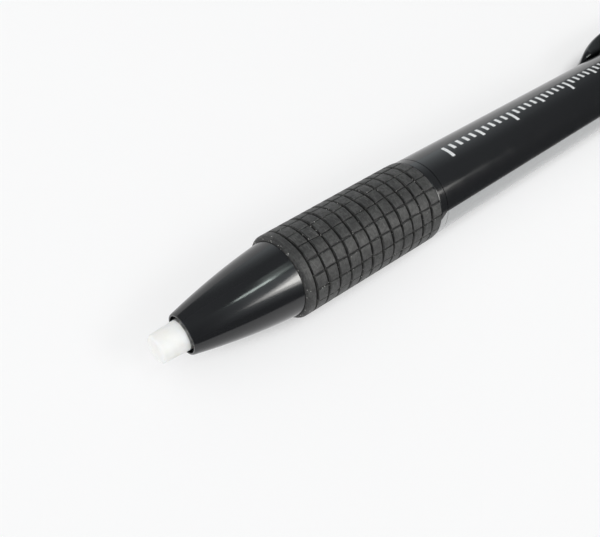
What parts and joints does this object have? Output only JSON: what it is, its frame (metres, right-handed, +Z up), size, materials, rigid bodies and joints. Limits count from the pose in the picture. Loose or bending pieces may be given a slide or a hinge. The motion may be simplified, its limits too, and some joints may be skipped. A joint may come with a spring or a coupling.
{
  "type": "eraser stick pen",
  "caption": "Push-button holder that feeds a round white eraser stick through a convex nose, with a grooved rubber grip, a pocket clip and a sprung button.",
  "frame": {"origin": "centre of the bounding box, on the surface that the pen lies on", "axes": "+X along the pen towards the push button, +Y towards the clip, +Z up"},
  "size_m": [0.1214, 0.015, 0.0109],
  "materials": {
    "eraser": "soft white vinyl eraser, satin",
    "nose_plastic": "glossy black moulded plastic",
    "barrel_plastic": "glossy black plastic with plain white ticks and a white lengthwise band",
    "grip_rubber": "matt black moulded rubber",
    "black_trim": "glossy black moulded plastic",
    "brake_rubber": "dark grey soft rubber",
    "chuck_plastic": "natural white plastic",
    "clutch_brass": "turned brass",
    "inner_plastic": "dark grey plastic",
    "spring_steel": "drawn steel wire",
    "tube_plastic": "natural white plastic"
  },
  "bodies": {
    "housing": {"barrel": "barrel_plastic", "nose_cone": "nose_plastic", "brake_ring": "brake_rubber", "rubber_grip": "grip_rubber", "spring_sleeve": "inner_plastic", "return_spring": "spring_steel", "tail_collar": "black_trim"},
    "feed": {"feed_tube": "tube_plastic", "push_button": "black_trim", "tube_coupler": "inner_plastic", "jaw_chuck": "chuck_plastic"},
    "clutch": {"clutch_ring": "clutch_brass"},
    "stick": {"eraser_stick": "eraser"},
    "clip": {"clip": "black_trim"}
  },
  "joints": [
    {"name": "button_press", "type": "slide", "parent": "housing", "child": "feed", "axis": [-1, 0, 0], "range_m": [0, 0.0035], "stiffness_N_per_m": 600, "springref_m": -0.003, "deforming": ["return_spring"]},
    {"name": "ring_follow", "type": "slide", "parent": "housing", "child": "clutch", "axis": [-1, 0, 0], "range_m": [0, 0.001]},
    {"name": "stick_feed", "type": "slide", "parent": "clutch", "child": "stick", "axis": [-1, 0, 0], "range_m": [-0.0032, 0.065]},
    {"name": "clip_flex", "type": "hinge", "parent": "housing", "child": "clip", "pos_m": [0.05273, 0.00541, 0.00298], "axis": [0, -0.3161, -0.9487], "range_deg": [0, 4], "stiffness_Nm_per_rad": 1, "springref_deg": -1}
  ],
  "couplings": [
    {"joint": "ring_follow", "follows": "button_press", "ratio": 0.2857}
  ]
}
